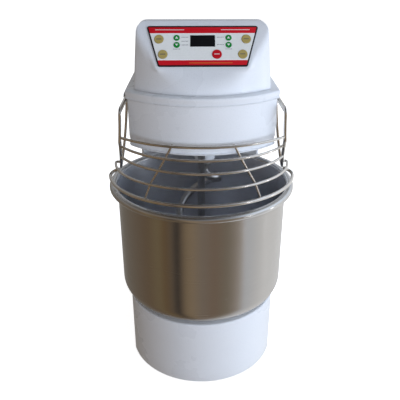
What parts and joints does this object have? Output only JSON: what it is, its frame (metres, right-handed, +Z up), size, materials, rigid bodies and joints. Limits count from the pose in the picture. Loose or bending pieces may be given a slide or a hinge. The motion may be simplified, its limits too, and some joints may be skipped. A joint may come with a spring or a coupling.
{
  "type": "commercial stand mixer",
  "caption": "Free-standing spiral dough mixer: a round bowl turns under a head that drives a spiral hook beside a fixed bar, with a hinged wire guard and a slanted key panel.",
  "frame": {"origin": "on the floor, at the centre of the machine's bounding box", "axes": "+Z up, the front with the bowl and the key panel faces -Y, +X to the right seen from the front"},
  "size_m": [0.4372, 0.75, 0.84],
  "materials": {
    "paint": "satin",
    "steel": "brushed",
    "wire_steel": "polished",
    "dark_steel": "matt",
    "panel": "satin",
    "display": "gloss",
    "gold_key": "satin",
    "green_key": "satin",
    "red_key": "satin",
    "board": "matt",
    "rubber": "matt",
    "black_plastic": "matt",
    "motor_paint": "satin"
  },
  "bodies": {
    "machine_frame": {"base_shell": "paint", "base_plate": "dark_steel", "foot_front_left": "rubber", "foot_front_right": "rubber", "foot_rear_left": "rubber", "foot_rear_right": "rubber", "column_shell": "paint", "rear_cover": "paint", "head_drum": "paint", "head_collar": "paint", "hood": "paint", "panel_plate": "panel", "display_window": "display", "control_board": "board", "breaker_bar": "steel", "breaker_nut": "steel", "bowl_bearing": "dark_steel", "hook_sleeve": "paint", "motor": "motor_paint", "motor_mount": "dark_steel", "inverter_box": "black_plastic", "cable_gland": "black_plastic", "hinge_pin_left": "steel", "hinge_pin_right": "steel", "guard_switch": "black_plastic", "lay_bearing_top": "dark_steel", "lay_bearing_bottom": "dark_steel", "motor_belt": "rubber", "hook_chain": "dark_steel", "bowl_chain": "dark_steel"},
    "bowl_body": {"bowl": "steel", "bowl_spindle": "dark_steel", "bowl_sprocket": "dark_steel"},
    "hook_body": {"spiral_hook": "steel", "hook_shaft": "steel", "hook_sprocket": "dark_steel"},
    "lay_body": {"lay_shaft": "steel", "lay_pulley": "dark_steel", "lay_sprocket_top": "dark_steel", "lay_sprocket_bottom": "dark_steel"},
    "motor_rotor": {"motor_shaft": "steel", "motor_pulley": "dark_steel"},
    "guard": {"guard_arm_left": "wire_steel", "guard_arm_right": "wire_steel", "guard_ring_1": "wire_steel", "guard_ring_2": "wire_steel", "guard_ring_3": "wire_steel", "guard_ring_4": "wire_steel", "guard_ring_5": "wire_steel", "guard_rib_left": "wire_steel", "guard_rib_right": "wire_steel"},
    "key_gold_1_body": {"key_gold_1": "gold_key"},
    "key_gold_2_body": {"key_gold_2": "gold_key"},
    "key_gold_3_body": {"key_gold_3": "gold_key"},
    "key_gold_4_body": {"key_gold_4": "gold_key"},
    "key_green_1_body": {"key_green_1": "green_key"},
    "key_green_2_body": {"key_green_2": "green_key"},
    "key_green_3_body": {"key_green_3": "green_key"},
    "key_green_4_body": {"key_green_4": "green_key"},
    "key_stop_body": {"key_stop": "red_key"}
  },
  "joints": [
    {"name": "bowl_spin", "type": "hinge", "parent": "machine_frame", "child": "bowl_body", "pos_m": [0, -0.1564, 0.3], "axis": [0, 0, 1], "continuous": true},
    {"name": "hook_spin", "type": "hinge", "parent": "machine_frame", "child": "hook_body", "pos_m": [0.01, -0.0584, 0.4], "axis": [0, 0, 1], "continuous": true},
    {"name": "lay_spin", "type": "hinge", "parent": "machine_frame", "child": "lay_body", "pos_m": [0, 0.1436, 0.4], "axis": [0, 0, 1], "continuous": true},
    {"name": "motor_spin", "type": "hinge", "parent": "machine_frame", "child": "motor_rotor", "pos_m": [0, 0.2686, 0.6], "axis": [0, 0, 1], "continuous": true},
    {"name": "guard_hinge", "type": "hinge", "parent": "machine_frame", "child": "guard", "pos_m": [0, -0.1864, 0.676], "axis": [-1, 0, 0], "range_deg": [0, 65]},
    {"name": "key_gold_1_press", "type": "slide", "parent": "machine_frame", "child": "key_gold_1_body", "axis": [0, 0.8192, -0.5736], "range_m": [0, 0.001], "stiffness_N_per_m": 800},
    {"name": "key_gold_2_press", "type": "slide", "parent": "machine_frame", "child": "key_gold_2_body", "axis": [0, 0.8192, -0.5736], "range_m": [0, 0.001], "stiffness_N_per_m": 800},
    {"name": "key_gold_3_press", "type": "slide", "parent": "machine_frame", "child": "key_gold_3_body", "axis": [0, 0.8192, -0.5736], "range_m": [0, 0.001], "stiffness_N_per_m": 800},
    {"name": "key_gold_4_press", "type": "slide", "parent": "machine_frame", "child": "key_gold_4_body", "axis": [0, 0.8192, -0.5736], "range_m": [0, 0.001], "stiffness_N_per_m": 800},
    {"name": "key_green_1_press", "type": "slide", "parent": "machine_frame", "child": "key_green_1_body", "axis": [0, 0.8192, -0.5736], "range_m": [0, 0.001], "stiffness_N_per_m": 800},
    {"name": "key_green_2_press", "type": "slide", "parent": "machine_frame", "child": "key_green_2_body", "axis": [0, 0.8192, -0.5736], "range_m": [0, 0.001], "stiffness_N_per_m": 800},
    {"name": "key_green_3_press", "type": "slide", "parent": "machine_frame", "child": "key_green_3_body", "axis": [0, 0.8192, -0.5736], "range_m": [0, 0.001], "stiffness_N_per_m": 800},
    {"name": "key_green_4_press", "type": "slide", "parent": "machine_frame", "child": "key_green_4_body", "axis": [0, 0.8192, -0.5736], "range_m": [0, 0.001], "stiffness_N_per_m": 800},
    {"name": "key_stop_press", "type": "slide", "parent": "machine_frame", "child": "key_stop_body", "axis": [0, 0.8192, -0.5736], "range_m": [0, 0.001], "stiffness_N_per_m": 800}
  ],
  "couplings": [
    {"joint": "hook_spin", "follows": "bowl_spin", "ratio": 6},
    {"joint": "lay_spin", "follows": "bowl_spin", "ratio": 7.5},
    {"joint": "motor_spin", "follows": "bowl_spin", "ratio": 30}
  ]
}
